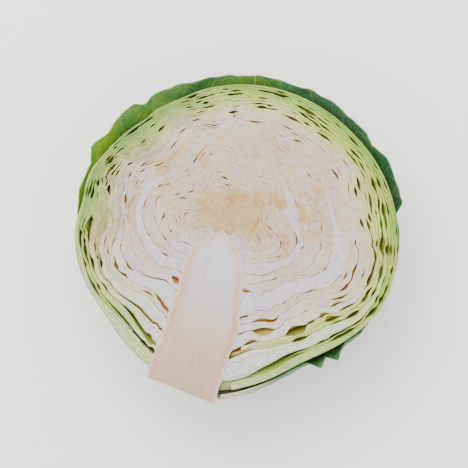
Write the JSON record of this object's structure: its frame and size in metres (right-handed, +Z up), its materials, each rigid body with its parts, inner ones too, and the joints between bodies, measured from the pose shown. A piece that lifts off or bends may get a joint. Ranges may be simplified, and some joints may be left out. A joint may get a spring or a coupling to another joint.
{
  "type": "halved cabbage head",
  "caption": "Half of a round white cabbage head, cut lengthwise through its core, lying cut face up with nested leaves, core and green wrapper leaves.",
  "frame": {"origin": "on the ground under the middle of the half head's bounding box", "axes": "+Z up, square to the level cut face; +Y along the core from the cut stem to the crown; +X to the right of someone who looks down on the cut face with the crown away from them"},
  "size_m": [0.1812, 0.185, 0.0846],
  "materials": {
    "core": "moist cut stem",
    "heart_leaf": "moist, satin",
    "white_leaf": "moist, satin",
    "pale_leaf": "satin",
    "green_leaf": "satin",
    "wrapper_leaf": "satin with a waxy bloom"
  },
  "bodies": {
    "root": {"core": "core", "heart_bud": "heart_leaf", "head_leaf_01": "heart_leaf", "head_leaf_02": "heart_leaf", "head_leaf_03": "heart_leaf", "head_leaf_04": "heart_leaf", "head_leaf_05": "heart_leaf", "head_leaf_06": "heart_leaf", "head_leaf_07": "heart_leaf", "head_leaf_08": "heart_leaf", "head_leaf_09": "white_leaf", "head_leaf_10": "white_leaf", "head_leaf_11": "white_leaf", "head_leaf_12": "white_leaf", "head_leaf_13": "white_leaf", "head_leaf_14": "white_leaf", "head_leaf_15": "white_leaf", "head_leaf_16": "white_leaf", "head_leaf_17": "white_leaf", "head_leaf_18": "white_leaf", "head_leaf_19": "white_leaf", "head_leaf_20": "white_leaf", "head_leaf_21": "white_leaf", "head_leaf_22": "white_leaf", "head_leaf_23": "white_leaf", "head_leaf_24": "pale_leaf", "head_leaf_25": "pale_leaf", "head_leaf_26": "pale_leaf", "head_leaf_27": "pale_leaf", "head_leaf_28": "pale_leaf", "head_leaf_29": "pale_leaf", "head_leaf_30": "pale_leaf", "head_leaf_31": "pale_leaf", "head_leaf_32": "pale_leaf", "head_leaf_33": "green_leaf", "head_leaf_34": "green_leaf", "head_leaf_35": "green_leaf", "head_leaf_36": "green_leaf", "head_leaf_37": "green_leaf", "head_leaf_38": "green_leaf", "wrapper_leaf_1": "wrapper_leaf", "wrapper_leaf_2": "wrapper_leaf"}
  },
  "joints": []
}
